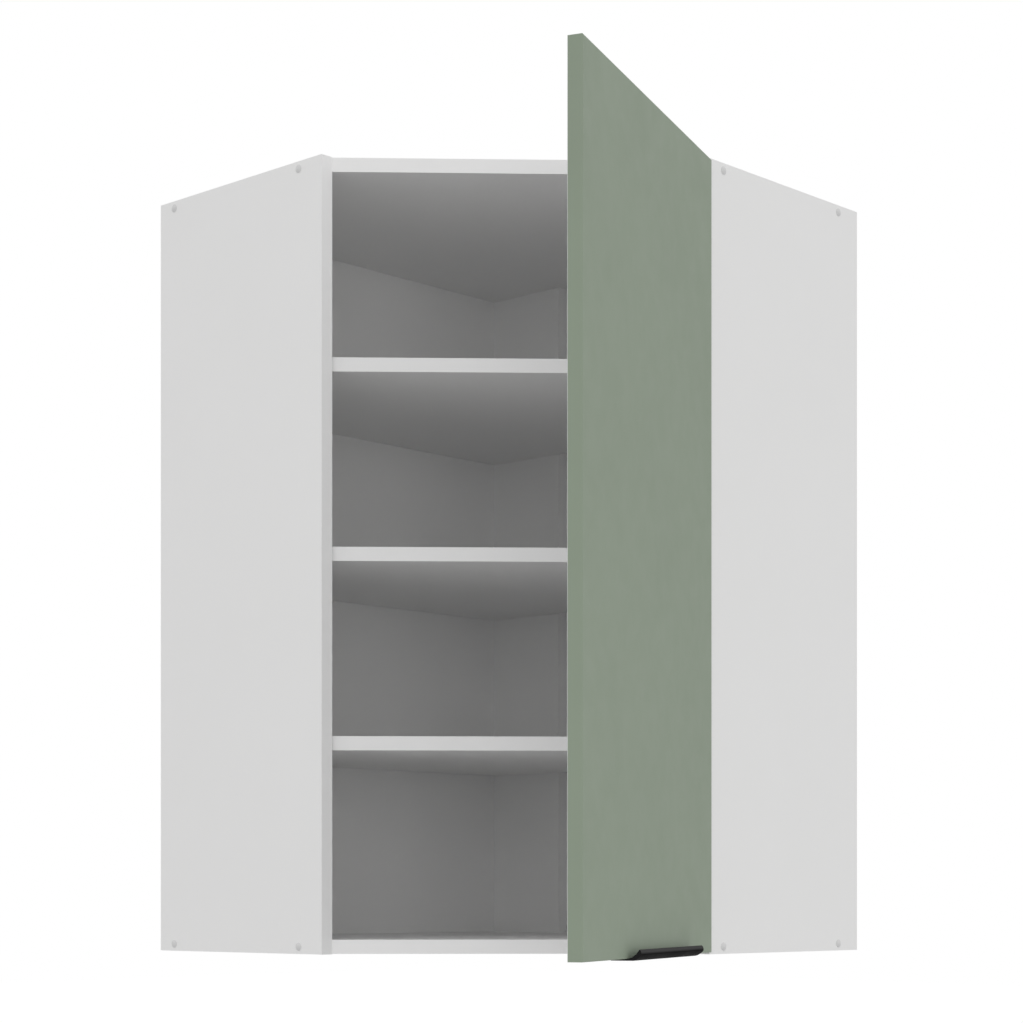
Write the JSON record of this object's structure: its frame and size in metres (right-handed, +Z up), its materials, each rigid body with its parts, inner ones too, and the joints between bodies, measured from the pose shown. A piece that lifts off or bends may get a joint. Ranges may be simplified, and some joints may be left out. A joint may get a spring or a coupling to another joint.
{
  "type": "corner wall cabinet",
  "caption": "Five-sided corner wall cabinet with shelves, a hinged diagonal door and a black handle profile under the door's lower edge.",
  "frame": {"origin": "room corner at the level of the cabinet's underside", "axes": "+Z up; +X along the right-hand wall; -Y along the left-hand wall; the diagonal front faces +X -Y"},
  "size_m": [0.7547, 0.6875, 0.9],
  "materials": {
    "white_board": "white melamine-faced particle board, satin",
    "white_sheet": "white lacquered hardboard, satin",
    "green_door": "sage green foil on fibreboard, matt, with a white back face",
    "black_handle": "matt black powder coat",
    "black_screw": "matt black",
    "white_plastic": "satin white",
    "zinc_steel": "zinc plated",
    "hinge_steel": "nickel plated, satin",
    "beech": "bare beech",
    "clear_rubber": "translucent soft pad"
  },
  "bodies": {
    "carcass": {"side_panel_left": "white_board", "side_panel_right": "white_board", "top_panel": "white_board", "bottom_panel": "white_board", "shelf_1": "white_board", "shelf_2": "white_board", "shelf_3": "white_board", "back_plank": "white_board", "back_sheet_left": "white_sheet", "back_sheet_right": "white_sheet", "carcass_screws_left": "zinc_steel", "carcass_screws_right": "zinc_steel", "screw_caps_left": "white_plastic", "screw_caps_right": "white_plastic", "side_dowels": "beech", "plank_dowels": "beech", "shelf_pins_left": "zinc_steel", "shelf_pins_right": "zinc_steel", "back_sheet_screws": "zinc_steel", "hinge_lower_panel_leaf": "hinge_steel", "hinge_lower_pin": "hinge_steel", "hinge_upper_panel_leaf": "hinge_steel", "hinge_upper_pin": "hinge_steel", "hinge_panel_screws": "zinc_steel", "hanger_body_left": "white_plastic", "hanger_hook_left": "zinc_steel", "hanger_adjusters_left": "zinc_steel", "hanger_screws_left": "zinc_steel", "hanger_body_right": "white_plastic", "hanger_hook_right": "zinc_steel", "hanger_adjusters_right": "zinc_steel", "hanger_screws_right": "zinc_steel"},
    "door": {"door": "green_door", "handle_profile": "black_handle", "handle_screws": "black_screw", "door_bumpers": "clear_rubber", "hinge_lower_door_leaf": "hinge_steel", "hinge_upper_door_leaf": "hinge_steel", "hinge_door_screws": "zinc_steel"}
  },
  "joints": [
    {"name": "door_swing", "type": "hinge", "parent": "carcass", "child": "door", "pos_m": [0.59303, -0.292, 0.45], "axis": [0, 0, 1], "range_deg": [-66.2, 28.8]}
  ]
}
